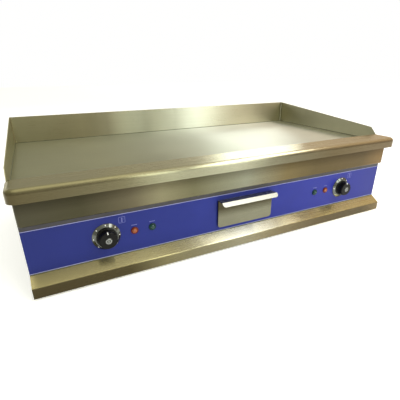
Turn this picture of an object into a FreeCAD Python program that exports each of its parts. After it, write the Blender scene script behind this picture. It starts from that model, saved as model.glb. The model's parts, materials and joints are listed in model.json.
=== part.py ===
import FreeCAD, Part
import math
import os
import re
import Sketcher

# Electric flat top griddle: a ground steel plate with splash guards on a folded
# steel housing, two thermostat knobs, four pilot lamps and a grease drawer.
# Frame: +X to the right, +Y to the back, +Z up. The origin is at the middle of
# the overall length and depth, level with the undersides of the feet.

doc = FreeCAD.newDocument("griddle")
Vector = FreeCAD.Vector
PLANES = {"plan": "XY_Plane", "front": "XZ_Plane", "side": "YZ_Plane"}
SIDES = {"left": "-1", "right": "1"}
nodes = {}

# Driving dimensions in millimetres. Levels are heights above the feet.
DIMENSIONS = {
    "sheet_gauge": 1.5,
    # bull-nosed rail across the front
    "rail_half": 500, "rail_front": -270, "rail_back": -203.5,
    "rail_base": 204, "rail_top": 230, "rail_round": 10, "rail_corner": 20,
    # cooking plate with its grease groove and drain
    "plate_half": 494.6, "plate_front": -203, "plate_back": 246.6,
    "plate_base": 202, "plate_top": 212, "groove_half": 470, "groove_front": -196,
    "groove_back": -170, "groove_floor": 207, "drain_centre": -183, "drain_radius": 14,
    # splash guards
    "guard_inner": 495, "guard_top": 287, "shoulder_back": -184, "shoulder_level": 248.6,
    # housing
    "body_half": 492.5, "body_back": 248.5, "body_base": 4, "flange_inner": 474,
    "bar_back": -148, "bar_half": 8, "skirt_front": -247, "skirt_back": -206,
    "skirt_base": 150, "skirt_corner": 8, "skirt_shoulder": 11, "panel_face": -235,
    "panel_base": 43, "overlay_gauge": 0.5, "overlay_base": 43.5,
    "overlay_top": 138,
    "plinth_front": -261.5, "plinth_edge": 27, "plinth_round": 4,
    # vents and screws of the rear panel
    "vent_first": 140, "vent_pitch": 20, "vent_width": 5, "vent_base": 90, "vent_top": 140,
    "screw_across": 484, "screw_low": 30, "screw_middle": 100, "screw_high": 170,
    "screw_radius": 2.1, "screw_hole": 2.2, "tab_reach": 8,
    # drawer, a little to the right of the middle
    "drawer_centre": 5, "front_half": 79.5, "front_base": 55, "front_top": 125.5,
    "front_face": -241, "front_corner": 7, "front_gap": 0.4, "lip_bend": -259,
    "lip_bend_top": 127, "lip_tip": -267, "lip_tip_top": 118.5, "lip_corner": 7,
    "tray_gauge": 1.2, "tray_half": 75, "tray_base": 59.3, "tray_top": 110, "tray_back": 90,
    "cutout_half": 77, "cutout_base": 57.5, "cutout_top": 123, "guide_back": 110,
    "guide_reach": 62, "guide_foot": 92, "slide_gap": 0.3, "stop_gap": 0.4, "stop_height": 25,
    # controls
    "knob_offset": 339, "knob_level": 93, "bezel_radius": 29.5, "bezel_crest": 23.6,
    "bezel_well": 22.8, "knob_radius": 21.5, "grip_base": 19.4, "grip_tip": 18.4, "grip_rim": 17,
    "cap_radius": 7, "flute_radius": 1.8, "flute_centre": 20.4, "shaft_radius": 3,
    "amber_offset": 279, "green_offset": 239, "lamp_level": 93.7, "lens_rim": 8.4,
    "lamp_radius": 4.9, "screw_offset": 14, "case_half": 22, "case_back": -201.5,
    "fixing_radius": 2, "fixing_head": 3.5, "barrel_back": -205,
    # heating
    "element_radius": 4.25, "element_level": 197.7, "leg_pitch": 60, "leg_first": -120,
    "leg_inner": 52, "leg_outer": 432, "riser_offset": 30, "zone_back": 232,
    "shield_base": 165.5, "shield_half": 478, "bulb_radius": 3, "capillary_radius": 1,
    "stud_radius": 3, "bar_lower": 190.3, "bar_upper": 193.3, "shield_front": -150,
    "shield_back": 240, "hole_radius": 8, "tube_drop": 471, "tube_row": -30,
    "tube_level": 105, "tube_entry": 350, "tube_bend": 6, "bulb_start": 180, "bulb_length": 110,
    "riser_base": 140, "pin_base": 132, "pin_radius": 2, "pin_length": 9,
    "column_inner": 150, "column_outer": 330, "clamp_half": 9, "clamp_front": -140,
    "clamp_back": 200, "row_front": -90, "row_middle": 30, "row_back": 150, "stud_drop": 7,
    "nut_radius": 5, "nut_height": 5, "blanket_inner": 45, "blanket_outer": 464,
    "blanket_depth": 15.5,
    # chute, feet and rear fittings
    "chute_radius": 16, "chute_base": 118, "foot_radius": 16, "foot_across": 440,
    "foot_front": -205, "foot_back": 215, "gland_offset": 380, "rear_level": 45,
    "gland_bore": 7, "gland_thread": 9.8, "gland_hole": 10, "gland_dome": 11.5,
    "gland_grip": 8, "gland_tip": 270, "earth_offset": 330, "earth_collar": 5,
    "earth_shank": 2.5, "earth_length": 14,
    # terminal block and wiring
    "block_left": -410, "block_right": -350, "block_front": 178, "block_back": 200,
    "block_top": 25, "barrier_top": 31, "barrier_pitch": 14.5, "barrier_gauge": 2,
    "wire_radius": 2, "wire_bend": 6, "wire_floor": 16, "wire_loft": 122, "wire_exit": 80,
    "wire_front": -217.5, "wire_cross": 150,
}
REAR_SCREWS = ("screw_low", "screw_middle", "screw_high")

dims = doc.addObject("Spreadsheet::Sheet", "dims")
for row, (alias, value) in enumerate(DIMENSIONS.items(), start=1):
    dims.set("A%d" % row, alias)
    dims.set("B%d" % row, str(value))
    dims.setAlias("B%d" % row, alias)
doc.recompute()


def linked(text):
    """Expression text with every alias pointed at the sheet."""
    return re.sub(r"\b[a-z]+(?:_[a-z]+)+\b", r"dims.\g<0>", text)


def size(alias):
    return float(dims.get(alias))


# ---- helpers for bodies ----

def new_body(label):
    body = doc.addObject("PartDesign::Body", label)
    body.Label = label
    nodes[label] = body
    return body


def origin_feature(body, role):
    return [item for item in body.Origin.OriginFeatures if item.Role == role][0]


def sketch_on(body, name, plane, offset):
    sketch = body.newObject("Sketcher::SketchObject", name)
    sketch.AttachmentSupport = [(origin_feature(body, PLANES[plane]), "")]
    sketch.MapMode = "FlatFace"
    sign = "-" if plane == "front" else ""
    sketch.setExpression("AttachmentOffset.Base.z", linked("%s(%s)" % (sign, offset)))
    return sketch


def fix_point(sketch, element, point, start, across, up):
    """Place one point of a sketch element at two bound distances from the origin."""
    for kind, value, place in (("DistanceX", start.x, across), ("DistanceY", start.y, up)):
        index = sketch.addConstraint(Sketcher.Constraint(kind, -1, 1, element, point, value))
        sketch.setExpression("Constraints[%d]" % index, linked(place))


def polygon(sketch, corners):
    count = len(corners)
    first = sketch.GeometryCount
    turn = 2 * math.pi / count
    ring = [Vector(math.cos(turn * i), math.sin(turn * i), 0) for i in range(count)]
    for i in range(count):
        sketch.addGeometry(Part.LineSegment(ring[i], ring[(i + 1) % count]), False)
    for i in range(count):
        following = first + (i + 1) % count
        sketch.addConstraint(Sketcher.Constraint("Coincident", first + i, 2, following, 1))
    for i, (across, up) in enumerate(corners):
        fix_point(sketch, first + i, 1, ring[i], across, up)


def rectangle(sketch, left, right, bottom, top):
    polygon(sketch, [(left, bottom), (right, bottom), (right, top), (left, top)])


def circles(sketch, radius, centres):
    for across, up in centres:
        index = sketch.addGeometry(Part.Circle(Vector(), Vector(0, 0, 1), 1), False)
        fix_point(sketch, index, 3, Vector(), across, up)
        constraint = sketch.addConstraint(Sketcher.Constraint("Radius", index, 1))
        sketch.setExpression("Constraints[%d]" % constraint, linked(radius))


def pad(body, name, plane, start, stop, *drawings):
    """Solid between two levels along the plane's axis."""
    sketch = sketch_on(body, name + "_sketch", plane, start)
    for draw, *values in drawings:
        draw(sketch, *values)
    feature = body.newObject("PartDesign::Pad", name)
    feature.Profile = sketch
    feature.Reversed = plane == "front"
    feature.setExpression("Length", linked("(%s) - (%s)" % (stop, start)))
    doc.recompute()
    body.Tip = feature


def pocket(body, name, plane, start, stop, *drawings):
    """Cut between two levels along the plane's axis."""
    before = body.Shape.Volume
    sketch = sketch_on(body, name + "_sketch", plane, start if plane == "front" else stop)
    for draw, *values in drawings:
        draw(sketch, *values)
    feature = body.newObject("PartDesign::Pocket", name)
    feature.Profile = sketch
    feature.setExpression("Length", linked("(%s) - (%s)" % (stop, start)))
    doc.recompute()
    body.Tip = feature
    if body.Shape.Volume > before - 0.01:
        raise ValueError("pocket %s cuts nothing" % name)


def fillet(body, name, radius, chosen):
    base = body.Tip
    names = ["Edge%d" % i for i, edge in enumerate(base.Shape.Edges, start=1) if chosen(edge)]
    if not names:
        raise ValueError("fillet %s has no edges" % name)
    feature = body.newObject("PartDesign::Fillet", name)
    feature.Base = (base, names)
    feature.setExpression("Radius", linked(radius))
    doc.recompute()
    body.Tip = feature


def hollow(body, name, wall, open_face):
    """Shell a body inwards, leaving the chosen face open."""
    base = body.Tip
    names = ["Face%d" % i for i, face in enumerate(base.Shape.Faces, start=1) if open_face(face)]
    feature = body.newObject("PartDesign::Thickness", name)
    feature.Base = (base, names)
    feature.setExpression("Value", linked(wall))
    feature.Reversed = True
    doc.recompute()
    body.Tip = feature


def turned(label, across, up, section):
    """Body of revolution about a line along Y; the section holds (y, radius) pairs."""
    body = new_body(label)
    sketch = sketch_on(body, label + "_section", "side", "0")
    polygon(sketch, section)
    feature = body.newObject("PartDesign::Revolution", label + "_turn")
    feature.Profile = sketch
    feature.ReferenceAxis = (origin_feature(body, "Y_Axis"), [""])
    feature.Angle = 360
    body.setExpression("Placement.Base.x", linked(across))
    body.setExpression("Placement.Base.z", linked(up))
    doc.recompute()
    body.Tip = feature
    return body


def is_level(value, wanted):
    return abs(value - wanted) < 0.01


def is_upright(edge):
    box = edge.BoundBox
    return box.ZLength > 1 and box.XLength < 0.01 and box.YLength < 0.01


# ---- helpers for Part primitives ----

def place(item, corner):
    for axis, value in zip("xyz", corner):
        item.setExpression("Placement.Base." + axis, linked(value))


def block(name, low, high):
    item = doc.addObject("Part::Box", name)
    for side, start, stop in zip(("Length", "Width", "Height"), low, high):
        item.setExpression(side, linked("(%s) - (%s)" % (stop, start)))
    place(item, low)
    return item


def rod(name, axis, start, radius, length):
    item = doc.addObject("Part::Cylinder", name)
    rotation = FreeCAD.Rotation(Vector(0, 0, 1), axis)
    item.Placement = FreeCAD.Placement(Vector(), rotation)
    item.setExpression("Radius", linked(radius))
    item.setExpression("Height", linked(length))
    place(item, start)
    return item


def hexagon(name, start, radius, length):
    """Six-sided nut or grip with its axis along Y."""
    item = doc.addObject("Part::Prism", name)
    item.Polygon = 6
    item.Placement = FreeCAD.Placement(Vector(), FreeCAD.Rotation(Vector(0, 0, 1), BACKWARD))
    item.setExpression("Circumradius", linked(radius))
    item.setExpression("Height", linked(length))
    place(item, start)
    return item


def cut(name, base, tool):
    item = doc.addObject("Part::Cut", name)
    item.Base = base
    item.Tool = tool
    return item


def group(name, items):
    """Join solids that touch, or keep separate solids in one node."""
    item = doc.addObject("Part::MultiFuse", name)
    item.Shapes = items
    return item


def keep(label, item):
    item.Label = label
    nodes[label] = item


RIGHTWARD = Vector(1, 0, 0)
BACKWARD = Vector(0, 1, 0)
UPWARD = Vector(0, 0, 1)


# ---- helpers for bent tube and wire ----

def bent_path(points, bend):
    """Straight runs joined by tangent arcs of one radius."""
    edges = []
    here = points[0]
    for before, corner, after in zip(points, points[1:], points[2:]):
        back = (before - corner).normalize()
        ahead = (after - corner).normalize()
        half = back.getAngle(ahead) / 2
        start = corner + back * (bend / math.tan(half))
        finish = corner + ahead * (bend / math.tan(half))
        centre = corner + (back + ahead).normalize() * (bend / math.sin(half))
        middle = centre + (corner - centre).normalize() * bend
        edges.append(Part.LineSegment(here, start).toShape())
        edges.append(Part.Arc(start, middle, finish).toShape())
        here = finish
    edges.append(Part.LineSegment(here, points[-1]).toShape())
    return Part.Wire(edges)


def tube_along(points, radius, bend):
    path = bent_path(points, bend)
    section = Part.Wire(Part.makeCircle(radius, points[0], points[1] - points[0]))
    solid = path.makePipeShell([section], True, True)
    wanted = math.pi * radius ** 2 * path.Length
    if abs(solid.Volume - wanted) > 0.01 * wanted:
        raise ValueError("a bent tube has the wrong volume")
    return solid


def free_shape(label, shape):
    item = doc.addObject("Part::Feature", label)
    item.Label = label
    item.Shape = shape
    item.Placement = FreeCAD.Placement()
    nodes[label] = item


# ---- cooking plate and guards ----

def make_plate():
    body = new_body("griddle_plate")
    pad(body, "plate_slab", "plan", "plate_base", "plate_top",
        (rectangle, "-plate_half", "plate_half", "plate_front", "plate_back"))
    pocket(body, "plate_groove", "plan", "groove_floor", "plate_top",
           (rectangle, "-groove_half", "groove_half", "groove_front", "groove_back"))
    fillet(body, "plate_groove_ends", "0.4 * (groove_back - groove_front)",
           lambda edge: is_upright(edge) and is_level(abs(edge.CenterOfMass.x), size("groove_half")))
    pocket(body, "plate_drain", "plan", "plate_base", "groove_floor",
           (circles, "drain_radius", [("0", "drain_centre")]))


def make_guards():
    back = new_body("back_guard")
    pad(back, "back_guard_sheet", "front", "body_back - sheet_gauge", "body_back",
        (rectangle, "-guard_inner - sheet_gauge", "guard_inner + sheet_gauge",
         "plate_base", "guard_top"))
    profile = [("plate_front", "plate_base"), ("body_back - sheet_gauge", "plate_base"),
               ("body_back - sheet_gauge", "guard_top"), ("shoulder_back", "shoulder_level"),
               ("plate_front", "rail_top")]
    spans = {"left": ("-guard_inner - sheet_gauge", "-guard_inner"),
             "right": ("guard_inner", "guard_inner + sheet_gauge")}
    for side, (start, stop) in spans.items():
        body = new_body(side + "_guard")
        pad(body, side + "_guard_sheet", "side", start, stop, (polygon, profile))


# ---- front rail, skirt, panel and plinth ----

def make_rail():
    body = new_body("front_rail")
    pad(body, "rail_block", "plan", "rail_base", "rail_top",
        (rectangle, "-rail_half", "rail_half", "rail_front", "rail_back"))
    fillet(body, "rail_corners", "rail_corner",
           lambda edge: is_upright(edge) and is_level(edge.CenterOfMass.y, size("rail_front")))
    fillet(body, "rail_nose", "rail_round",
           lambda edge: is_level(edge.BoundBox.ZMin, size("rail_top"))
           and edge.BoundBox.YMin < size("rail_back") - 1)
    hollow(body, "rail_shell", "sheet_gauge",
           lambda face: is_level(face.BoundBox.ZMax, size("rail_base")))


def make_skirt():
    body = new_body("front_skirt")
    pad(body, "skirt_block", "plan", "skirt_base", "rail_top - sheet_gauge",
        (rectangle, "-body_half", "body_half", "skirt_front", "skirt_back"))
    fillet(body, "skirt_shoulders", "skirt_shoulder",
           lambda edge: is_level(edge.BoundBox.ZMin, size("rail_top") - size("sheet_gauge"))
           and is_level(abs(edge.CenterOfMass.x), size("body_half")))
    fillet(body, "skirt_corners", "skirt_corner",
           lambda edge: is_upright(edge) and is_level(edge.CenterOfMass.y, size("skirt_front")))
    fillet(body, "skirt_hem", "2 * sheet_gauge",
           lambda edge: is_level(edge.BoundBox.ZMax, size("skirt_base"))
           and edge.BoundBox.YMin < size("skirt_back") - 1)
    hollow(body, "skirt_shell", "sheet_gauge",
           lambda face: is_level(face.BoundBox.YMin, size("skirt_back")))


def mirrored_centres(offsets, level):
    return [(sign + " * " + offset, level) for sign in SIDES.values() for offset in offsets]


def make_control_panel():
    body = new_body("control_panel")
    pad(body, "panel_sheet", "front", "panel_face", "panel_face + sheet_gauge",
        (rectangle, "-body_half", "body_half", "panel_base", "skirt_base"),
        (rectangle, "drawer_centre - cutout_half", "drawer_centre + cutout_half",
         "cutout_base", "cutout_top"),
        (circles, "shaft_radius + 1", mirrored_centres(["knob_offset"], "knob_level")),
        (circles, "lamp_radius + 0.1",
         mirrored_centres(["amber_offset", "green_offset"], "lamp_level")),
        (circles, "fixing_radius + 0.1", mirrored_centres(
            ["(knob_offset - screw_offset)", "(knob_offset + screw_offset)"], "knob_level")))
    skin = new_body("panel_overlay")
    pad(skin, "overlay_sheet", "front", "panel_face - overlay_gauge", "panel_face",
        (rectangle, "-body_half", "body_half", "overlay_base", "overlay_top"),
        (rectangle, "drawer_centre - cutout_half", "drawer_centre + cutout_half",
         "cutout_base", "cutout_top"),
        (circles, "bezel_radius - 3.5", mirrored_centres(["knob_offset"], "knob_level")),
        (circles, "lamp_radius + 0.2",
         mirrored_centres(["amber_offset", "green_offset"], "lamp_level")))


def make_plinth():
    slope = "(panel_base - plinth_edge) / (panel_face - plinth_front)"
    sag = "sheet_gauge * sqrt(1 + (%s) ^ 2)" % slope
    inner_front = "plinth_front + sheet_gauge"
    inner_back = "panel_face + sheet_gauge"
    body = new_body("front_plinth")
    pad(body, "plinth_block", "side", "-body_half", "body_half",
        (polygon, [(inner_back, "body_base"), ("plinth_front", "body_base"),
                   ("plinth_front", "plinth_edge"), ("panel_face", "panel_base"),
                   (inner_back, "panel_base")]))
    fillet(body, "plinth_nose", "plinth_round",
           lambda edge: is_level(edge.BoundBox.ZMin, size("plinth_edge"))
           and edge.BoundBox.XLength > 10)
    pocket(body, "plinth_hollow", "side", "-body_half + sheet_gauge", "body_half - sheet_gauge",
           (polygon, [(inner_back, "body_base + sheet_gauge"),
                      (inner_front, "body_base + sheet_gauge"),
                      (inner_front, "plinth_edge + sheet_gauge * %s - %s" % (slope, sag)),
                      (inner_back, "panel_base + sheet_gauge * %s - %s" % (slope, sag))]))


# ---- housing ----

def make_side_panels():
    inner_back = "body_back - sheet_gauge"
    wall_front = "panel_face + sheet_gauge"
    outline = [(wall_front, "body_base"), (inner_back, "body_base"),
               (inner_back, "plate_base - sheet_gauge"),
               ("skirt_back", "plate_base - sheet_gauge"), ("skirt_back", "skirt_base"),
               (wall_front, "skirt_base")]
    for side, sign in SIDES.items():
        body = new_body(side + "_side_panel")
        wall = sorted([sign + " * (body_half - sheet_gauge)", sign + " * body_half"],
                      reverse=side == "right")
        pad(body, side + "_wall", "side", wall[0], wall[1], (polygon, outline))
        shelf = [sign + " * flange_inner", sign + " * (guard_inner + sheet_gauge)"]
        pad(body, side + "_shelf", "plan", "plate_base - sheet_gauge", "plate_base",
            (rectangle, shelf[0], shelf[1], "plate_front", inner_back))
        tab = [sign + " * (screw_across - tab_reach)", sign + " * (body_half - sheet_gauge)"]
        holes = [(sign + " * screw_across", level) for level in REAR_SCREWS]
        pad(body, side + "_tab", "front", "body_back - 2 * sheet_gauge", inner_back,
            (rectangle, tab[0], tab[1], "body_base + 2 * sheet_gauge",
             "plate_base - sheet_gauge"),
            (circles, "screw_hole", holes))


def make_rear_panel():
    body = new_body("rear_panel")
    screws = [(sign + " * screw_across", level) for sign in SIDES.values()
              for level in REAR_SCREWS]
    pad(body, "rear_sheet", "front", "body_back - sheet_gauge", "body_back",
        (rectangle, "-body_half", "body_half", "body_base", "plate_base"),
        (circles, "screw_hole", screws),
        (circles, "gland_hole", [("-gland_offset", "rear_level")]),
        (circles, "earth_shank + 0.2", [("-earth_offset", "rear_level")]))
    vents = []
    for sign in SIDES.values():
        for step in range(9):
            near = "%s * (vent_first + vent_pitch * %d)" % (sign, step)
            far = "%s * (vent_first + vent_width + vent_pitch * %d)" % (sign, step)
            vents.append((rectangle, near, far, "vent_base", "vent_top"))
    pocket(body, "rear_vents", "front", "body_back - sheet_gauge", "body_back", *vents)
    pad(body, "rear_shelf", "plan", "plate_base - sheet_gauge", "plate_base",
        (rectangle, "-flange_inner", "flange_inner", "zone_back", "body_back - sheet_gauge"))


def make_floor_and_bars():
    keep("bottom_panel", cut(
        "floor_cut",
        block("floor_sheet", ("-body_half + sheet_gauge", "panel_face + sheet_gauge", "body_base"),
              ("body_half - sheet_gauge", "body_back - sheet_gauge", "body_base + sheet_gauge")),
        group("floor_holes", [
            rod("floor_hole_%d" % i, UPWARD, (x, y, "body_base - 1"), "2.5", "4")
            for i, (x, y) in enumerate(foot_places())])))
    keep("front_bar", cut(
        "front_bar_cut",
        block("front_bar_sheet", ("-flange_inner", "plate_front", "plate_base - sheet_gauge"),
              ("flange_inner", "bar_back", "plate_base")),
        rod("front_bar_hole", UPWARD, ("0", "drain_centre", "plate_base - 5"),
            "chute_radius + 7", "10")))
    keep("centre_bar", block(
        "centre_bar_sheet", ("-bar_half", "bar_back", "plate_base - sheet_gauge"),
        ("bar_half", "zone_back", "plate_base")))


def foot_places():
    return [(sign + " * foot_across", row) for row in ("foot_front", "foot_back")
            for sign in SIDES.values()]


def make_feet():
    names = ["front_left", "front_right", "back_left", "back_right"]
    screws = []
    for name, (x, y) in zip(names, foot_places()):
        pad_disc = rod(name + "_disc", UPWARD, (x, y, "0"), "foot_radius", "body_base")
        bore = rod(name + "_bore", UPWARD, (x, y, "-1"), "2.6", "6")
        recess = rod(name + "_recess", UPWARD, (x, y, "-1"), "6", "3")
        keep("foot_" + name, cut(name + "_foot", pad_disc, group(name + "_void", [bore, recess])))
        head = rod(name + "_head", UPWARD, (x, y, "0.4"), "4.8", "1.6")
        shank = rod(name + "_shank", UPWARD, (x, y, "1.8"), "2.4", "10")
        screws.append(group(name + "_screw", [head, shank]))
    keep("foot_screws", group("foot_screw_group", screws))


# ---- heating ----

def make_elements():
    radius = size("element_radius")
    level = size("element_level")
    pitch = size("leg_pitch")
    inner = size("leg_inner")
    outer = size("leg_outer")
    riser = size("riser_offset")
    foot = size("riser_base")
    bend = 0.33 * pitch
    rows = [size("leg_first") + pitch * i for i in range(6)]
    for side, sign in (("left", -1), ("right", 1)):
        points = [Vector(riser, rows[0], foot), Vector(riser, rows[0], level)]
        for i, row in enumerate(rows[:-1]):
            turn = outer + pitch / 2 if i % 2 == 0 else inner - pitch / 2
            points += [Vector(turn, row, level), Vector(turn, row + pitch, level)]
        points += [Vector(riser, rows[-1], level), Vector(riser, rows[-1], foot)]
        points = [Vector(sign * p.x, p.y, p.z) for p in points]
        solid = tube_along(points, radius, bend)
        for row in (rows[0], rows[-1]):
            pin_start = Vector(sign * riser, row, size("pin_base"))
            pin = Part.makeCylinder(size("pin_radius"), size("pin_length"), pin_start)
            solid = solid.fuse(pin)
        free_shape(side + "_element", solid)


def make_clamps():
    bars = []
    studs = []
    nuts = []
    for side, sign in SIDES.items():
        for column in ("column_inner", "column_outer"):
            x = "%s * %s" % (sign, column)
            name = "%s_%s" % (side, column)
            bars.append(block(name + "_bar", (x + " - clamp_half", "clamp_front", "bar_lower"),
                              (x + " + clamp_half", "clamp_back", "bar_upper")))
            for row in ("row_front", "row_middle", "row_back"):
                tag = "%s_%s" % (name, row)
                studs.append(rod(tag + "_stud", UPWARD, (x, row, "bar_lower - stud_drop"),
                                 "stud_radius", "plate_base - bar_lower + stud_drop"))
                nuts.append(rod(tag + "_nut", UPWARD, (x, row, "bar_lower - nut_height"),
                                "nut_radius", "nut_height"))
    rods = group("stud_tools", studs)
    keep("clamp_bars", cut("clamp_bar_cut", group("clamp_bar_group", bars), rods))
    keep("clamp_studs", group("clamp_stud_group", studs))
    keep("clamp_nuts", cut("clamp_nut_cut", group("clamp_nut_group", nuts), rods))


def make_shield():
    low = "shield_base"
    tray = cut(
        "shield_tray",
        block("shield_block", ("-shield_half - sheet_gauge", "shield_front", low),
              ("shield_half + sheet_gauge", "shield_back", "plate_base - sheet_gauge")),
        block("shield_space", ("-shield_half", "shield_front - 1", low + " + sheet_gauge"),
              ("shield_half", "shield_back + 1", "plate_base")))
    holes = []
    for side, sign in SIDES.items():
        for i, row in enumerate(("leg_first", "leg_first + 5 * leg_pitch")):
            holes.append(rod("%s_riser_hole_%d" % (side, i), UPWARD,
                             (sign + " * riser_offset", row, low + " - 5"), "hole_radius", "10"))
        holes.append(rod(side + "_tube_hole", UPWARD,
                         (sign + " * tube_drop", "tube_row", low + " - 5"),
                         "0.5 * hole_radius", "10"))
    keep("heat_shield", cut("shield_cut", tray, group("shield_holes", holes)))
    edges = {"left": ("-blanket_outer", "-blanket_inner"),
             "right": ("blanket_inner", "blanket_outer")}
    for side, (start, stop) in edges.items():
        keep(side + "_insulation", block(
            side + "_blanket", (start, "bar_back", low + " + sheet_gauge"),
            (stop, "zone_back", low + " + sheet_gauge + blanket_depth")))


def make_sensors():
    level = size("plate_base") - size("bulb_radius") - 0.4
    row = size("tube_row")
    drop = size("tube_drop")
    entry = size("tube_entry")
    low = size("tube_level")
    bulb_end = size("bulb_start") + size("bulb_length")
    for side, sign in (("left", -1), ("right", 1)):
        bulb = Part.makeCylinder(size("bulb_radius"), size("bulb_length"),
                                 Vector(sign * size("bulb_start"), row, level),
                                 Vector(sign, 0, 0))
        points = [Vector(sign * (bulb_end - 1), row, level), Vector(sign * drop, row, level),
                  Vector(sign * drop, row, low), Vector(sign * entry, row, low),
                  Vector(sign * entry, size("case_back"), low)]
        capillary = tube_along(points, size("capillary_radius"), size("tube_bend"))
        free_shape(side + "_sensor", bulb.fuse(capillary))


# ---- controls ----

def make_thermostats():
    screws = []
    for side, sign in SIDES.items():
        middle = sign + " * knob_offset"
        case = block(side + "_case", (middle + " - case_half", "panel_face + sheet_gauge",
                                      "knob_level - case_half"),
                     (middle + " + case_half", "case_back", "knob_level + case_half"))
        bores = [rod(side + "_case_bore", BACKWARD, (middle, "panel_face", "knob_level"),
                     "shaft_radius + 0.06", "9.5")]
        for end in ("-", "+"):
            x = "%s %s screw_offset" % (middle, end)
            tag = side + ("_inner" if end == "-" else "_outer")
            bores.append(rod(tag + "_tapping", BACKWARD, (x, "panel_face", "knob_level"),
                             "fixing_radius", "9.2"))
            head = rod(tag + "_head", BACKWARD, (x, "panel_face - 1.4", "knob_level"),
                       "fixing_head", "1.4")
            shank = rod(tag + "_shank", BACKWARD, (x, "panel_face - 0.5", "knob_level"),
                        "fixing_radius", "9.5")
            screws.append(group(tag + "_screw", [head, shank]))
        keep(side + "_thermostat", cut(side + "_case_cut", case,
                                       group(side + "_case_bores", bores)))
    keep("thermostat_screws", group("thermostat_screw_group", screws))


def make_bezels():
    for side, sign in SIDES.items():
        turned(side + "_bezel", sign + " * knob_offset", "knob_level", [
            ("panel_face - overlay_gauge", "bezel_radius - 3"),
            ("panel_face - overlay_gauge", "bezel_radius"),
            ("panel_face - 1.6", "bezel_radius"),
            ("panel_face - 6.4", "bezel_crest"),
            ("panel_face - 6.4", "bezel_well"),
            ("panel_face - 2.6", "bezel_well"),
            ("panel_face - 2.6", "5"),
            ("panel_face - 1.6", "5"),
            ("panel_face - 1.6", "bezel_radius - 3")])


def make_knobs():
    for side, sign in SIDES.items():
        across = sign + " * knob_offset"
        body = turned(side + "_knob", across, "knob_level", [
            ("panel_face - 3", "shaft_radius + 0.05"), ("panel_face - 3", "knob_radius"),
            ("panel_face - 8", "knob_radius"), ("panel_face - 9", "grip_base"),
            ("panel_face - 22.4", "grip_tip"), ("panel_face - 24", "grip_rim"),
            ("panel_face - 24", "cap_radius + 0.1"),
            ("panel_face - 22.4", "cap_radius + 0.1"), ("panel_face - 22.4", "0"),
            ("panel_face - 19", "0"), ("panel_face - 19", "shaft_radius + 0.05")])
        pocket(body, side + "_flute", "front", "panel_face - 25", "panel_face - 9",
               (circles, "flute_radius", [("flute_centre", "0")]))
        flute = body.Tip
        pattern = body.newObject("PartDesign::PolarPattern", side + "_flutes")
        pattern.Originals = [flute]
        pattern.Axis = (origin_feature(body, "Y_Axis"), [""])
        pattern.Angle = 360
        pattern.Occurrences = 20
        body.Tip = pattern
        turned(side + "_knob_ring", across, "knob_level", [
            ("panel_face - 5.4", "knob_radius"), ("panel_face - 5.4", "knob_radius + 0.8"),
            ("panel_face - 7.6", "knob_radius + 0.8"), ("panel_face - 7.6", "knob_radius")])
        turned(side + "_knob_cap", across, "knob_level", [
            ("panel_face - 22.4", "0"), ("panel_face - 22.4", "cap_radius"),
            ("panel_face - 24.4", "cap_radius"), ("panel_face - 25.2", "cap_radius - 1.3"),
            ("panel_face - 25.4", "0")])
        keep(side + "_shaft", rod(side + "_spindle", BACKWARD,
                                  (across, "panel_face - 19", "knob_level"),
                                  "shaft_radius", "28"))


def make_lamps():
    bodies = []
    for side, sign in SIDES.items():
        for colour in ("amber", "green"):
            name = side + "_" + colour
            across = "%s * %s_offset" % (sign, colour)
            turned(name + "_lens", across, "lamp_level", [
                ("panel_face - 0.5", "0"), ("panel_face - 0.5", "lens_rim"),
                ("panel_face - 1.9", "lens_rim"), ("panel_face - 2.6", "lens_rim - 1.8"),
                ("panel_face - 4.8", "lens_rim - 3.4"), ("panel_face - 5.8", "2.6"),
                ("panel_face - 6", "0")])
            barrel = rod(name + "_barrel", BACKWARD, (across, "panel_face - 0.5", "lamp_level"),
                         "lamp_radius", "barrel_back - panel_face + 0.5")
            nut = hexagon(name + "_nut", (across, "panel_face + sheet_gauge", "lamp_level"),
                          "8", "3")
            bodies.append(group(name + "_lamp", [barrel, nut]))
    keep("lamp_bodies", group("lamp_group", bodies))


# ---- grease drawer and chute ----

def make_drawer_front():
    back = "panel_face - overlay_gauge - front_gap"
    body = new_body("drawer_front")
    pad(body, "front_pan", "front", "front_face", back,
        (rectangle, "drawer_centre - front_half", "drawer_centre + front_half",
         "front_base", "front_top"))
    fillet(body, "front_corners", "front_corner",
           lambda edge: edge.BoundBox.XLength < 0.01
           and edge.BoundBox.YLength > 1 and edge.BoundBox.ZMax < size("front_base") + 1)
    hollow(body, "front_shell", "tray_gauge",
           lambda face: is_level(face.BoundBox.YMin,
                                 size("panel_face") - size("overlay_gauge") - size("front_gap")))
    pad(body, "front_lip", "side", "drawer_centre - front_half", "drawer_centre + front_half",
        (polygon, [("front_face + tray_gauge", "front_top"), ("lip_bend", "lip_bend_top"),
                   ("lip_tip", "lip_tip_top"),
                   ("lip_tip + 0.75 * tray_gauge", "lip_tip_top - 0.7 * tray_gauge"),
                   ("lip_bend + 0.4 * tray_gauge", "lip_bend_top - tray_gauge"),
                   ("front_face + tray_gauge", "front_top - tray_gauge")]))
    fillet(body, "lip_corners", "lip_corner",
           lambda edge: is_level(abs(edge.CenterOfMass.x - size("drawer_centre")), size("front_half"))
           and edge.BoundBox.YMax < size("lip_tip") + 1)


def make_drawer_tray():
    low = ("drawer_centre - tray_half", "front_face + tray_gauge", "tray_base")
    outer = block("tray_block", low, ("drawer_centre + tray_half", "tray_back", "tray_top"))
    inner = block("tray_space", tuple(value + " + tray_gauge" for value in low),
                  ("drawer_centre + tray_half - tray_gauge", "tray_back - tray_gauge",
                   "tray_top + 1"))
    keep("drawer_tray", cut("tray_cut", outer, inner))


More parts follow.
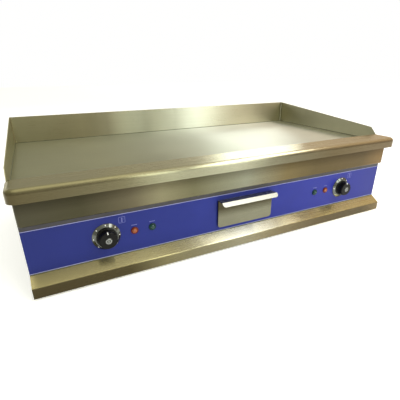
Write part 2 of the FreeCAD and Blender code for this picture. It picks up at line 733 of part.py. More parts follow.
def make_guides():
    front = "panel_face + sheet_gauge"
    floor = "body_base + sheet_gauge"
    ledge = "tray_base - slide_gap"
    stop = "tray_back + stop_gap"
    spans = {"left": ("drawer_centre - cutout_half - 1", "drawer_centre - cutout_half + 0.5",
                      "drawer_centre - guide_reach", "drawer_centre - guide_foot"),
             "right": ("drawer_centre + cutout_half - 0.5", "drawer_centre + cutout_half + 1",
                       "drawer_centre + guide_reach", "drawer_centre + guide_foot")}
    for side, (riser_low, riser_high, reach, foot) in spans.items():
        shelf = (riser_low, reach) if side == "left" else (reach, riser_high)
        base = (foot, riser_low) if side == "left" else (riser_high, foot)
        items = [
            block(side + "_guide_riser", (riser_low, front, floor),
                  (riser_high, "guide_back", "tray_top + 2")),
            block(side + "_guide_ledge", (shelf[0], front, ledge + " - sheet_gauge"),
                  (shelf[1], "guide_back", ledge)),
            block(side + "_guide_stop", (shelf[0], stop, ledge),
                  (shelf[1], stop + " + sheet_gauge", "tray_base + stop_height")),
            block(side + "_guide_foot", (base[0], front, floor),
                  (base[1], "guide_back", floor + " + sheet_gauge"))]
        keep(side + "_drawer_guide", group(side + "_guide", items))


def make_chute():
    flange = rod("chute_flange", UPWARD, ("0", "drain_centre", "plate_base - sheet_gauge"),
                 "chute_radius + 6", "sheet_gauge")
    pipe = rod("chute_pipe", UPWARD, ("0", "drain_centre", "chute_base"),
               "chute_radius", "plate_base - chute_base")
    bore = rod("chute_bore", UPWARD, ("0", "drain_centre", "chute_base - 1"),
               "chute_radius - sheet_gauge", "plate_base - chute_base + 2")
    keep("grease_chute", cut("chute_cut", group("chute_outer", [flange, pipe]), bore))


# ---- electrical fittings at the back, and the wiring ----

def make_rear_fittings():
    x = "-gland_offset"
    grip = hexagon("gland_hex", (x, "body_back", "rear_level"), "13.8", "gland_grip")
    dome = rod("gland_nose", BACKWARD, (x, "body_back + gland_grip", "rear_level"),
               "gland_dome", "gland_tip - body_back - gland_grip")
    shank = rod("gland_shank", BACKWARD, (x, "body_back - 11", "rear_level"),
                "gland_thread", "12")
    bore = rod("gland_void", BACKWARD, (x, "body_back - 12", "rear_level"), "gland_bore", "50")
    keep("cable_gland", cut("gland_cut", group("gland_outer", [grip, dome, shank]), bore))
    nut = hexagon("locknut_blank", (x, "body_back - sheet_gauge - 4", "rear_level"), "14", "4")
    nut_bore = rod("locknut_bore", BACKWARD, (x, "body_back - 12", "rear_level"),
                   "gland_thread", "12")
    keep("gland_locknut", cut("locknut_cut", nut, nut_bore))

    x = "-earth_offset"
    collar = hexagon("earth_hex", (x, "body_back", "rear_level"), "5.8", "earth_collar")
    pin = rod("earth_pin", BACKWARD, (x, "body_back + earth_collar", "rear_level"),
              "stud_radius", "earth_length")
    shank = rod("earth_root", BACKWARD, (x, "body_back - 9", "rear_level"), "earth_shank", "10")
    keep("earth_stud", group("earth_stud_group", [collar, pin, shank]))
    nut = hexagon("earth_nut_blank", (x, "body_back - sheet_gauge - 5", "rear_level"), "5.2", "5")
    nut_bore = rod("earth_nut_bore", BACKWARD, (x, "body_back - 12", "rear_level"),
                   "earth_shank", "12")
    keep("earth_nut", cut("earth_nut_cut", nut, nut_bore))

    screws = []
    for side, sign in SIDES.items():
        for level in REAR_SCREWS:
            name = "%s_rear_%s" % (side, level)
            x = sign + " * screw_across"
            head = rod(name + "_head", BACKWARD, (x, "body_back", level), "4", "1.8")
            shank = rod(name + "_shank", BACKWARD, (x, "body_back - 9", level),
                        "screw_radius", "9.5")
            screws.append(group(name, [head, shank]))
    keep("rear_screws", group("rear_screw_group", screws))

    base = block("terminal_base", ("block_left", "block_front", "body_base + sheet_gauge"),
                 ("block_right", "block_back", "block_top"))
    barriers = []
    for i in range(5):
        start = "block_left + barrier_pitch * %d" % i
        barriers.append(block("barrier_%d" % i, (start, "block_front", "block_top"),
                              (start + " + barrier_gauge", "block_back", "barrier_top")))
    keep("terminal_block", group("terminal_group", [base] + barriers))


def make_wiring():
    case_back = size("case_back")
    case_base = size("knob_level") - size("case_half")
    lamp_back = size("barrel_back")
    riser = size("riser_offset")
    rows = [size("leg_first"), size("leg_first") + 5 * size("leg_pitch")]
    floor, loft, out = size("wire_floor"), size("wire_loft"), size("wire_exit")
    block_front, front, cross = size("block_front"), size("wire_front"), size("wire_cross")
    pins = size("pin_base")
    # live feeds: block to the left thermostat, and across the floor to the right one
    runs = [
        [(-355, block_front, floor), (-355, front, floor), (-355, front, case_base)],
        [(-395, block_front, floor), (-395, cross, floor), (355, cross, floor),
         (355, front, floor), (355, front, case_base)]]
    for sign in (-1, 1):
        # thermostat to the two ends of its element
        for start, lane, row in ((325, -160, rows[0]), (345, -140, rows[1])):
            turn = [(sign * riser, lane, loft)] if row == rows[0] else [(sign * start, row, loft)]
            runs.append([(sign * start, case_back, out), (sign * start, lane, out),
                         (sign * start, lane, loft)] + turn
                        + [(sign * riser, row, loft), (sign * riser, row, pins)])
        # lamps to the thermostat
        for lamp, reach, end in (("amber_offset", 22, 326), ("green_offset", 34, 335)):
            across, level = sign * size(lamp), size("lamp_level")
            runs.append([(across, lamp_back, level), (across, lamp_back + reach, level),
                         (sign * end, lamp_back + reach, level), (sign * end, case_back, level)])
    solids = []
    for run in runs:
        points = [Vector(*point) for point in run]
        solids.append(tube_along(points, size("wire_radius"), size("wire_bend")))
    free_shape("wiring", Part.makeCompound(solids))


make_plate()
make_guards()
make_rail()
make_skirt()
make_control_panel()
make_plinth()
make_side_panels()
make_rear_panel()
make_floor_and_bars()
make_feet()
make_elements()
make_clamps()
make_shield()
make_sensors()
make_thermostats()
make_bezels()
make_knobs()
make_lamps()
make_drawer_front()
make_drawer_tray()
make_guides()
make_chute()
make_rear_fittings()
make_wiring()
doc.recompute()

for item in doc.Objects:
    if {"Invalid", "Error"} & set(item.State):
        raise ValueError("%s did not build" % item.Label)
for label, item in nodes.items():
    if item.Shape.isNull() or not item.Shape.isValid() or not item.Shape.Solids:
        raise ValueError("%s has no sound solid" % label)

os.makedirs("parts", exist_ok=True)
for label, item in nodes.items():
    item.Shape.exportStep("parts/%s.step" % label)
    box = item.Shape.BoundBox
    print("%-20s %2d solids %10.1f mm3  x %7.1f %7.1f  y %7.1f %7.1f  z %6.1f %6.1f" % (
        label, len(item.Shape.Solids), item.Shape.Volume,
        box.XMin, box.XMax, box.YMin, box.YMax, box.ZMin, box.ZMax))
print(len(nodes), "sub-parts")
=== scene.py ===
import json
import math

import bmesh
import bpy
from mathutils import Matrix, Vector


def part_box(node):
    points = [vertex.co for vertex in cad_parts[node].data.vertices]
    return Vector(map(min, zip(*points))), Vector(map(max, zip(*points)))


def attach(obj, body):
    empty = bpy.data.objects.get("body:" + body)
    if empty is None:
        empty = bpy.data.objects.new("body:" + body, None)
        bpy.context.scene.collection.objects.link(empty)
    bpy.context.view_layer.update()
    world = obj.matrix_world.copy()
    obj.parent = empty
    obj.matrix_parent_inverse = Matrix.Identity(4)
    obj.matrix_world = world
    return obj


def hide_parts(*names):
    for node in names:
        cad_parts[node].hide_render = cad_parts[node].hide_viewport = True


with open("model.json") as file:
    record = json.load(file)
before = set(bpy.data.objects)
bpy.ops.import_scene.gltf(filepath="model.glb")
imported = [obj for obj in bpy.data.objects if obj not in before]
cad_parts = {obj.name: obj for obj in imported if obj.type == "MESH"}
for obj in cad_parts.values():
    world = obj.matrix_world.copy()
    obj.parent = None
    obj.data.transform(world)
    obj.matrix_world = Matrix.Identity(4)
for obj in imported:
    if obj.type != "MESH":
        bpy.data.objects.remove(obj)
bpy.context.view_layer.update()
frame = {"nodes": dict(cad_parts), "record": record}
nodes = frame["nodes"]

MM = 0.001
scene = bpy.context.scene
scene.view_settings.view_transform = "Standard"


# ---- node material helpers ----

class Shader:
    """A node material under construction: adds nodes and links them."""

    def __init__(self, name):
        self.material = bpy.data.materials.new(name)
        self.material.use_nodes = True
        self.tree = self.material.node_tree
        self.tree.nodes.clear()
        self.output = self.add("ShaderNodeOutputMaterial")
        self.surface = self.add("ShaderNodeBsdfPrincipled")
        self.link(self.surface, "BSDF", self.output, "Surface")
        self.place = self.add("ShaderNodeTexCoord")

    def add(self, kind, **settings):
        node = self.tree.nodes.new(kind)
        for key, value in settings.items():
            setattr(node, key, value)
        return node

    def link(self, source, output, target, entry):
        self.tree.links.new(source.outputs[output], target.inputs[entry])

    def feed(self, value, target, entry):
        """Set a socket to a number or colour, or link it to another socket."""
        if isinstance(value, bpy.types.NodeSocket):
            self.tree.links.new(value, target.inputs[entry])
        else:
            target.inputs[entry].default_value = value

    def stretched(self, scale):
        """Object coordinates multiplied per axis."""
        mapping = self.add("ShaderNodeMapping")
        mapping.inputs["Scale"].default_value = scale
        self.link(self.place, "Object", mapping, "Vector")
        return mapping.outputs["Vector"]

    def noise(self, scale, detail=3.0, roughness=0.5):
        node = self.add("ShaderNodeTexNoise")
        self.feed(self.stretched(scale), node, "Vector")
        node.inputs["Scale"].default_value = 1.0
        node.inputs["Detail"].default_value = detail
        node.inputs["Roughness"].default_value = roughness
        return node.outputs["Fac"]

    def spread(self, value, low, high, source_low=0.3, source_high=0.7):
        node = self.add("ShaderNodeMapRange")
        self.feed(value, node, "Value")
        node.inputs["From Min"].default_value = source_low
        node.inputs["From Max"].default_value = source_high
        node.inputs["To Min"].default_value = low
        node.inputs["To Max"].default_value = high
        return node.outputs["Result"]

    def axis(self, letter):
        node = self.add("ShaderNodeSeparateXYZ")
        self.link(self.place, "Object", node, "Vector")
        return node.outputs[letter]

    def ramp(self, value, stops):
        node = self.add("ShaderNodeValToRGB")
        self.feed(value, node, "Fac")
        elements = node.color_ramp.elements
        while len(elements) < len(stops):
            elements.new(0.5)
        for element, (position, colour) in zip(elements, stops):
            element.position = position
            element.color = (*colour, 1.0)
        return node.outputs["Color"]

    def mix(self, first, second, share, mode="MIX"):
        node = self.add("ShaderNodeMix", data_type="RGBA", blend_type=mode)
        self.feed(share, node, 0)
        self.feed(first, node, 6)
        self.feed(second, node, 7)
        return node.outputs[2]

    def maths(self, operation, first, second=0.0):
        node = self.add("ShaderNodeMath", operation=operation)
        self.feed(first, node, 0)
        self.feed(second, node, 1)
        return node.outputs[0]

    def bump(self, height, strength, distance):
        node = self.add("ShaderNodeBump")
        self.feed(height, node, "Height")
        node.inputs["Strength"].default_value = strength
        node.inputs["Distance"].default_value = distance
        return node.outputs["Normal"]

    def finish(self, **sockets):
        for name, value in sockets.items():
            self.feed(value, self.surface, name.replace("_", " "))
        return self.material


def colour4(colour):
    return (*colour, 1.0)


def along_grain(grain, long, cross):
    """Noise scales that draw a pattern out along one axis."""
    return tuple(long if letter == grain else cross for letter in "xyz")


def brushed(name, stops, grain="x", rough=0.35, spread=1.0, streak=0.025, blotch=0.045,
            upright=None, painted_shade=None, ends=None):
    """Brushed stainless sheet with fine grain lines along one axis, highlights drawn out
    across the grain, streaks and soft smudges. The base colour follows X through the stops.
    Besides the steel's tint the stops hold light and dark bands of painted reflection,
    so those bands stay where they are when the lights or the view change. The upright faces of
    a folded piece can have stops of their own, painted shade that sets them darker than the
    tops. A painted shade darkens upright faces with height between two levels, as under the
    rail and the lip. The end faces of a long piece can be plain."""
    shader = Shader(name)
    along = shader.spread(shader.axis("X"), 0.0, 1.0, -0.5, 0.5)
    tint = shader.ramp(along, stops)
    facing = shader.add("ShaderNodeNewGeometry")
    split = shader.add("ShaderNodeSeparateXYZ")
    shader.link(facing, "Normal", split, 0)
    steep = shader.spread(shader.maths("ABSOLUTE", split.outputs["Z"]), 1.0, 0.0, 0.25, 0.75)
    # upright stops: painted shade, the upright faces darker than the tops
    if upright is not None:
        tint = shader.mix(tint, shader.ramp(along, upright), steep)
    # painted shade: upright faces darken with height towards the overhang above
    if painted_shade is not None:
        low, high, dark = painted_shade
        reach = shader.spread(shader.axis("Z"), 0.0, 1.0, low, high)
        tint = shader.mix(tint, colour4(dark), shader.maths("MULTIPLY", reach, steep), "MULTIPLY")
    if ends is not None:
        sideways = shader.maths("ABSOLUTE", split.outputs["X"])
        tint = shader.mix(tint, colour4(ends), shader.spread(sideways, 0.0, 1.0, 0.85, 0.95))
    lines = shader.noise(along_grain(grain, 4.0, 1400.0), 2.0, 0.6)
    bands = shader.noise(along_grain(grain, 6.0, 240.0), 3.0, 0.6)
    smudges = shader.noise((7.0, 7.0, 7.0), 4.0, 0.55)
    shade = shader.maths("MULTIPLY", shader.spread(bands, 1.0 - streak, 1.0 + streak),
                         shader.spread(smudges, 1.0 - blotch, 1.0 + blotch))
    grey = shader.add("ShaderNodeCombineColor")
    for entry in ("Red", "Green", "Blue"):
        shader.feed(shade, grey, entry)
    base = shader.mix(tint, grey.outputs["Color"], 1.0, "MULTIPLY")
    roughness = shader.maths("ADD", shader.spread(smudges, -0.015, 0.02),
                             shader.spread(lines, rough - 0.02, rough + 0.02))
    normal = shader.bump(lines, 0.08, 0.00005)
    grain_line = {"x": (1, 0.05, 0), "y": (0, 1, 0.05), "z": (0.05, 0, 1)}[grain]
    across = shader.add("ShaderNodeVectorMath", operation="CROSS_PRODUCT")
    across.inputs[0].default_value = grain_line
    shader.link(facing, "Normal", across, 1)
    return shader.finish(Base_Color=base, Metallic=1.0, Roughness=roughness, Normal=normal,
                         Anisotropic=spread, Tangent=across.outputs["Vector"])


def flat_steel(name, colour, rough=0.35):
    """Plain rolled sheet or zinc: mottled, without a brushed grain."""
    shader = Shader(name)
    mottle = shader.noise((70.0, 70.0, 70.0), 5.0, 0.6)
    dark = tuple(c * 0.78 for c in colour)
    base = shader.ramp(mottle, [(0.3, dark), (0.7, colour)])
    return shader.finish(Base_Color=base, Metallic=1.0,
                         Roughness=shader.spread(mottle, rough - 0.08, rough + 0.1),
                         Normal=shader.bump(mottle, 0.12, 0.0002))


def moulded(name, colour, rough=0.4, grain=900.0, depth=0.15, metallic=0.0, shine=0.5):
    """Moulded plastic, rubber or paint: fine texture, worn patches a little lighter."""
    shader = Shader(name)
    speck = shader.noise((grain, grain, grain), 2.0, 0.5)
    wear = shader.noise((45.0, 45.0, 45.0), 4.0, 0.6)
    light = tuple(min(1.0, c * 1.25 + 0.003) for c in colour)
    base = shader.ramp(wear, [(0.35, colour), (0.75, light)])
    return shader.finish(Base_Color=base, Metallic=metallic,
                         Roughness=shader.spread(wear, rough - 0.06, rough + 0.08),
                         Specular_IOR_Level=shine, Normal=shader.bump(speck, depth, 0.0001))


def blue_film():
    """Glossy printed film, royal blue with a faint orange peel. The blue is painted deeper
    towards the left and a little dimmer at the right end, a painted shade.
    """
    shader = Shader("overlay_blue")
    along = shader.spread(shader.axis("X"), 0.0, 1.0, -0.5, 0.5)
    tint = shader.ramp(along, [(0.0, (0.014, 0.022, 0.150)), (0.45, (0.020, 0.030, 0.215)),
                               (0.8, (0.024, 0.031, 0.255)), (1.0, (0.020, 0.025, 0.200))])
    cloud = shader.noise((11.0, 11.0, 18.0), 2.0, 0.45)
    peel = shader.noise((520.0, 520.0, 520.0), 2.0, 0.5)
    shade = shader.ramp(cloud, [(0.35, (0.93, 0.93, 0.93)), (0.65, (1.0, 1.0, 1.0))])
    base = shader.mix(tint, shade, 1.0, "MULTIPLY")
    return shader.finish(Base_Color=base, Roughness=shader.spread(cloud, 0.28, 0.34),
                         Specular_IOR_Level=0.15, Normal=shader.bump(peel, 0.05, 0.00005))


def lens(name, colour, glow):
    """Translucent pilot lamp lens: coloured body with cloudy depth and a faint glow."""
    shader = Shader(name)
    depth = shader.noise((260.0, 260.0, 260.0), 2.0, 0.5)
    base = shader.ramp(depth, [(0.3, tuple(c * 0.7 for c in colour)), (0.7, colour)])
    return shader.finish(Base_Color=base, Roughness=shader.spread(depth, 0.12, 0.22),
                         Transmission_Weight=0.35, Subsurface_Weight=0.3,
                         Subsurface_Radius=(0.004, 0.002, 0.001),
                         Emission_Color=colour4(glow), Emission_Strength=0.07,
                         Normal=shader.bump(depth, 0.1, 0.0002))


def fibre(name, colour):
    """Ceramic fibre blanket."""
    shader = Shader(name)
    lumps = shader.noise((120.0, 120.0, 120.0), 6.0, 0.7)
    base = shader.ramp(lumps, [(0.3, tuple(c * 0.82 for c in colour)), (0.7, colour)])
    return shader.finish(Base_Color=base, Roughness=0.95, Normal=shader.bump(lumps, 0.6, 0.002))


PLAIN_END = (0.33, 0.31, 0.23)

# A stop is a share of the width, 0 at x = -0.5 m and 1 at x = 0.5 m, and a colour. In the brushed
# steels the stops paint reflections as light and dark bands along the width; upright stops and the
# darkening with height paint shade.
MATERIALS = {
    # Plate: a painted reflection, dark olive at the left rising to near white at the right.
    "plate_steel": brushed("plate_steel", [
        (0.0, (0.21, 0.205, 0.125)), (0.2, (0.235, 0.23, 0.15)), (0.28, (0.235, 0.235, 0.165)),
        (0.44, (0.275, 0.283, 0.225)), (0.52, (0.325, 0.34, 0.285)), (0.6, (0.44, 0.46, 0.41)),
        (0.75, (0.57, 0.59, 0.54)), (0.92, (0.86, 0.88, 0.82)), (1.0, (0.97, 0.97, 0.92))],
        "x", 0.38, 0.97),
    # Guards: painted reflections and shade as light and dark bands along the width, the right guard
    # painted darker.
    "guard_steel": brushed("guard_steel", [
        (0.0, (0.40, 0.38, 0.23)), (0.2, (0.37, 0.34, 0.21)), (0.28, (0.205, 0.185, 0.12)),
        (0.36, (0.26, 0.255, 0.18)), (0.44, (0.40, 0.40, 0.30)), (0.52, (0.285, 0.285, 0.225)),
        (0.6, (0.38, 0.385, 0.32)), (0.78, (0.47, 0.44, 0.32)), (0.92, (0.60, 0.57, 0.42)),
        (0.985, (0.72, 0.68, 0.50)), (0.993, (0.27, 0.26, 0.175))], "x", 0.30),
    # Rail: painted reflection bands along the width; the upright stops paint the front face darker
    # than the top, a painted shade.
    "rail_steel": brushed("rail_steel", [
        (0.0, (0.22, 0.195, 0.095)), (0.2, (0.26, 0.24, 0.13)), (0.35, (0.30, 0.29, 0.19)),
        (0.55, (0.54, 0.53, 0.40)), (0.72, (0.47, 0.395, 0.25)), (1.0, (0.49, 0.39, 0.24))],
        "x", 0.26, 0.95, upright=[
            (0.0, (0.10, 0.083, 0.042)), (0.2, (0.15, 0.135, 0.078)), (0.3, (0.24, 0.235, 0.155)),
            (0.45, (0.27, 0.265, 0.19)), (0.55, (0.155, 0.147, 0.10)), (0.75, (0.12, 0.094, 0.05)),
            (1.0, (0.165, 0.125, 0.072))], ends=PLAIN_END),
    # Skirt: painted reflection bands along the width, and painted shade darkening it towards the
    # rail above.
    "skirt_steel": brushed("skirt_steel", [
        (0.0, (0.072, 0.067, 0.044)), (0.12, (0.064, 0.059, 0.034)), (0.22, (0.115, 0.10, 0.062)),
        (0.28, (0.165, 0.15, 0.09)), (0.36, (0.128, 0.12, 0.068)), (0.5, (0.178, 0.178, 0.13)),
        (0.62, (0.15, 0.118, 0.056)), (0.72, (0.108, 0.083, 0.04)), (0.9, (0.105, 0.077, 0.037)),
        (1.0, (0.20, 0.13, 0.055))], "x", 0.24, painted_shade=(0.172, 0.202, (0.46, 0.44, 0.42)),
        ends=PLAIN_END),
    # Plinth: painted reflection bands along the width, brightest right of centre; the upright stops
    # paint the front face darker, a painted shade.
    "plinth_steel": brushed("plinth_steel", [
        (0.0, (0.35, 0.305, 0.14)), (0.3, (0.375, 0.335, 0.18)), (0.5, (0.37, 0.37, 0.33)),
        (0.6, (0.26, 0.24, 0.17)), (0.68, (0.45, 0.39, 0.23)), (0.78, (0.72, 0.63, 0.33)),
        (1.0, (0.54, 0.44, 0.23))],
        "x", 0.26, upright=[
            (0.0, (0.068, 0.054, 0.026)), (0.2, (0.078, 0.063, 0.03)), (0.28, (0.175, 0.152, 0.078)),
            (0.48, (0.23, 0.21, 0.14)), (0.6, (0.20, 0.165, 0.092)), (0.76, (0.12, 0.093, 0.05)),
            (0.92, (0.10, 0.079, 0.04)), (1.0, (0.18, 0.132, 0.062))],
        streak=0.02, blotch=0.03, ends=PLAIN_END),
    # Drawer: the upright stops paint its front darker than the lip, and the front darkens under the
    # lip, both painted shade.
    "drawer_steel": brushed("drawer_steel", [
        (0.0, (0.25, 0.25, 0.225)), (0.5, (0.25, 0.255, 0.235)), (1.0, (0.25, 0.25, 0.225))],
        "x", 0.26, 0.8, upright=[(0.0, (0.19, 0.185, 0.13)), (1.0, (0.19, 0.185, 0.13))],
        painted_shade=(0.080, 0.104, (0.33, 0.30, 0.25))),
    "housing_steel": brushed("housing_steel", [
        (0.0, (0.34, 0.32, 0.24)), (0.5, (0.38, 0.37, 0.30)), (1.0, (0.34, 0.31, 0.24))],
        "z", 0.36),
    # Near black: painted shade for the control panel strip under the skirt.
    "panel_painted_shade": moulded("panel_painted_shade", (0.05, 0.048, 0.052), 0.4, 900.0, 0.1, 0.7),
    "inner_steel": flat_steel("inner_steel", (0.55, 0.56, 0.57)),
    "overlay_blue": blue_film(),
    "print_lavender": moulded("print_lavender", (0.27, 0.28, 0.50), 0.45, 700.0, 0.05),
    "print_pale": moulded("print_pale", (0.12, 0.13, 0.36), 0.45, 700.0, 0.05),
    "print_white": moulded("print_white", (0.84, 0.85, 0.84), 0.4, 700.0, 0.05),
    "print_grey": moulded("print_grey", (0.34, 0.35, 0.36), 0.45, 700.0, 0.05),
    "seam_bead": moulded("seam_bead", (0.075, 0.078, 0.045), 0.5, 500.0, 0.25, 0.7),
    "weld_polish": flat_steel("weld_polish", (0.66, 0.64, 0.46), 0.22),
    "bezel_metal": flat_steel("bezel_metal", (0.15, 0.16, 0.145), 0.16),
    "knob_black": moulded("knob_black", (0.004, 0.004, 0.0035), 0.3, 900.0, 0.1, 0.0, 0.12),
    "chrome": flat_steel("chrome", (0.11, 0.115, 0.105), 0.22),
    "shaft_steel": flat_steel("shaft_steel", (0.5, 0.5, 0.5), 0.3),
    "lens_amber": lens("lens_amber", (0.40, 0.105, 0.03), (0.9, 0.3, 0.06)),
    "lens_green": lens("lens_green", (0.004, 0.045, 0.040), (0.02, 0.25, 0.18)),
    "collar_amber": moulded("collar_amber", (0.10, 0.012, 0.010), 0.25, 600.0, 0.05, 0.0, 0.2),
    "collar_green": moulded("collar_green", (0.004, 0.026, 0.026), 0.25, 600.0, 0.05, 0.0, 0.2),
    "lamp_plastic": moulded("lamp_plastic", (0.55, 0.54, 0.50), 0.45),
    "thermostat_case": flat_steel("thermostat_case", (0.42, 0.43, 0.44), 0.4),
    "sensor_copper": flat_steel("sensor_copper", (0.60, 0.32, 0.20), 0.32),
    "element_sheath": moulded("element_sheath", (0.10, 0.10, 0.095), 0.55, 300.0, 0.3, 0.8),
    "blanket": fibre("blanket", (0.86, 0.85, 0.80)),
    "fastener_steel": flat_steel("fastener_steel", (0.60, 0.60, 0.61), 0.28),
    "earth_brass": flat_steel("earth_brass", (0.70, 0.52, 0.22), 0.3),
    "gland_nylon": moulded("gland_nylon", (0.02, 0.02, 0.02), 0.5),
    "terminal_ceramic": moulded("terminal_ceramic", (0.86, 0.85, 0.80), 0.3),
    "wire_sleeve": moulded("wire_sleeve", (0.42, 0.06, 0.04), 0.6, 1600.0, 0.3),
    "foot_rubber": moulded("foot_rubber", (0.02, 0.02, 0.02), 0.75, 500.0, 0.3),
}

SLOTS = {part["node"]: part["material_slot"] for part in frame["record"]["subparts"]}
for node_name, item in nodes.items():
    item.data.materials.clear()
    item.data.materials.append(MATERIALS[SLOTS[node_name]])
# The control panel, seen as a strip under the skirt, is made near black, a painted shade.
nodes["control_panel"].data.materials[0] = MATERIALS["panel_painted_shade"]


# ---- pieces made here ----

def point_at(place, across, up, out):
    """A point on the front: offsets to the right, up, and out towards the user."""
    return Vector((place.x + across, place.y - out, place.z + up))


def make_piece(name, material, body, fill, smooth=35.0):
    """A mesh object filled by a function, shaded smooth up to an angle, riding on a body."""
    grid = bmesh.new()
    fill(grid)
    bmesh.ops.recalc_face_normals(grid, faces=grid.faces)
    mesh = bpy.data.meshes.new(name)
    grid.to_mesh(mesh)
    grid.free()
    mesh.shade_smooth()
    mesh.set_sharp_from_angle(angle=math.radians(smooth))
    mesh.materials.append(MATERIALS[material])
    piece = bpy.data.objects.new(name, mesh)
    scene.collection.objects.link(piece)
    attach(piece, body)
    return piece


def add_plate(grid, outline, lift, thickness):
    """A flat shape on the front: outline points as (x, z) pairs in metres, standing off its
    base plane by a thickness, with a narrow chamfer round its outer face."""
    inset = 0.3 * thickness
    middle = Vector((sum(p[0] for p in outline), sum(p[1] for p in outline))) / len(outline)
    rings = []
    for y, shrink in ((lift, 0.0), (lift - 0.6 * thickness, 0.0), (lift - thickness, inset)):
        ring = []
        for x, z in outline:
            toward = middle - Vector((x, z))
            pull = toward.normalized() * shrink if toward.length > 1e-9 else Vector((0, 0))
            ring.append(grid.verts.new((x + pull.x, y, z + pull.y)))
        rings.append(ring)
    close_rings(grid, rings)


def close_rings(grid, rings):
    """Skin between successive rings, and cap both ends."""
    count = len(rings[0])
    for low, high in zip(rings, rings[1:]):
        for i in range(count):
            j = (i + 1) % count
            grid.faces.new((low[i], low[j], high[j], high[i]))
    grid.faces.new(rings[0])
    grid.faces.new(list(reversed(rings[-1])))


def turned(grid, centre, profile, count=48, ripple=0.0, waves=0):
    """Rings of a turned shape about the line along Y through a point; the profile holds
    (out, radius) pairs, and a ripple makes flutes or facets round it."""
    rings = []
    for out, radius in profile:
        ring = []
        for i in range(count):
            angle = 2 * math.pi * i / count
            r = radius * (1.0 + ripple * math.cos(waves * angle))
            ring.append(grid.verts.new(point_at(centre, r * math.sin(angle),
                                                r * math.cos(angle), out)))
        rings.append(ring)
    return rings


def rounded_rectangle(x, z, half_wide, half_high, radius, steps=6):
    points = []
    for quarter in range(4):
        corner_x = half_wide - radius if quarter in (0, 3) else radius - half_wide
        corner_z = half_high - radius if quarter in (0, 1) else radius - half_high
        for step in range(steps + 1):
            angle = math.pi / 2 * (quarter + step / steps)
            points.append((x + corner_x + radius * math.cos(angle),
                           z + corner_z + radius * math.sin(angle)))
    return points


def add_frame(grid, outer, inner, lift, thickness):
    """A flat closed band between two outlines with the same number of points."""
    levels = []
    for outline in (outer, inner):
        levels.append([[grid.verts.new((x, y, z)) for x, z in outline]
                       for y in (lift, lift - thickness)])
    count = len(outer)
    (outer_back, outer_front), (inner_back, inner_front) = levels
    for first, second in ((outer_back, outer_front), (outer_front, inner_front),
                          (inner_front, inner_back), (inner_back, outer_back)):
        for i in range(count):
            j = (i + 1) % count
            grid.faces.new((first[i], first[j], second[j], second[i]))


def round_outline(x, z, radius, count=20):
    return [(x + radius * math.cos(2 * math.pi * i / count),
             z + radius * math.sin(2 * math.pi * i / count)) for i in range(count)]


film_low, film_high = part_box("panel_overlay")
film_face = film_low.y
PRINT = 0.12 * MM

EDGE_LINE = {"drop": 0.7 * MM, "rise": 1.5 * MM, "short": 0.2 * MM, "half": 0.6 * MM}
SIGN_ASIDE = {"left": 35 * MM, "right": 32 * MM}
SIGN_UP = 31 * MM
SIGN_HALF = 7 * MM
SIGN_BAND = 0.7 * MM
STEM_HALF = (0.9 * MM, 3.6 * MM)
STEM_UP = 1.2 * MM
BULB_RADIUS = 1.7 * MM
BULB_DOWN = 3.2 * MM
TICK_HALF = (0.9 * MM, 0.25 * MM)
TICK_ASIDE = 2.6 * MM
DASH_UP = 13 * MM
DASH_PITCH = 2.5 * MM
DASH_HALF = (0.95 * MM, 0.9 * MM)


def make_panel_print():
    """A thin line along the top and the bottom edge of the film, a thermometer sign by each knob
    and a row of dashes by each lamp."""
    def lines(grid):
        half_wide = film_high.x - EDGE_LINE["short"]
        for level in (film_high.z - EDGE_LINE["drop"], film_low.z + EDGE_LINE["rise"]):
            add_plate(grid, rounded_rectangle(0.0, level, half_wide, EDGE_LINE["half"],
                                              0.2 * MM, 3), film_face, PRINT)
    make_piece("panel_lines", "print_lavender", "housing", lines)

    for side in ("left", "right"):
        low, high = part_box(side + "_bezel")
        x = (low.x + high.x) / 2 + SIGN_ASIDE[side]
        z = (low.z + high.z) / 2 + SIGN_UP

        def sign(grid):
            inner = SIGN_HALF - SIGN_BAND
            add_frame(grid, rounded_rectangle(x, z, SIGN_HALF, SIGN_HALF, 2 * MM),
                      rounded_rectangle(x, z, inner, inner, 1.5 * MM), film_face, PRINT)
            add_plate(grid, rounded_rectangle(x, z + STEM_UP, *STEM_HALF, 0.85 * MM),
                      film_face, PRINT)
            add_plate(grid, round_outline(x, z - BULB_DOWN, BULB_RADIUS), film_face, PRINT)
            for step in range(3):
                tick_up = (0.2 + 1.7 * step) * MM
                add_plate(grid, rounded_rectangle(x + TICK_ASIDE, z + tick_up, *TICK_HALF,
                                                  0.2 * MM, 3), film_face, PRINT)
        make_piece(side + "_heat_sign", "print_pale", "housing", sign)

        for colour in ("amber", "green"):
            low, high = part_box("%s_%s_lens" % (side, colour))
            x = (low.x + high.x) / 2
            z = (low.z + high.z) / 2 + DASH_UP

            def dashes(grid):
                for step in range(-2, 3):
                    add_plate(grid, rounded_rectangle(x + step * DASH_PITCH, z, *DASH_HALF,
                                                      0.3 * MM, 3), film_face, PRINT)
            make_piece("%s_%s_mark" % (side, colour), "print_pale",
                       "housing", dashes)


RING_RIM = 1.1 * MM
RING_SLOPE = 5.9 * MM
DOT_SHARE = 0.45
DOT_SECTION = ((-0.25, 1.3), (0.12, 1.25), (0.22, 0.8))
POINTER_INSET = 3.1 * MM
POINTER_HALF = 0.95
POINTER_SECTION = ((4.0, 0.35), (1.7, 0.22), (-0.2, -1.35), (-0.2, -3.8), (0.2, -3.6),
                   (0.2, -1.5), (2.0, -0.4), (4.0, -0.2))
BADGE_RADII = (5.4 * MM, 4.5 * MM)
BAR_HALF = (0.5 * MM, 2.6 * MM)


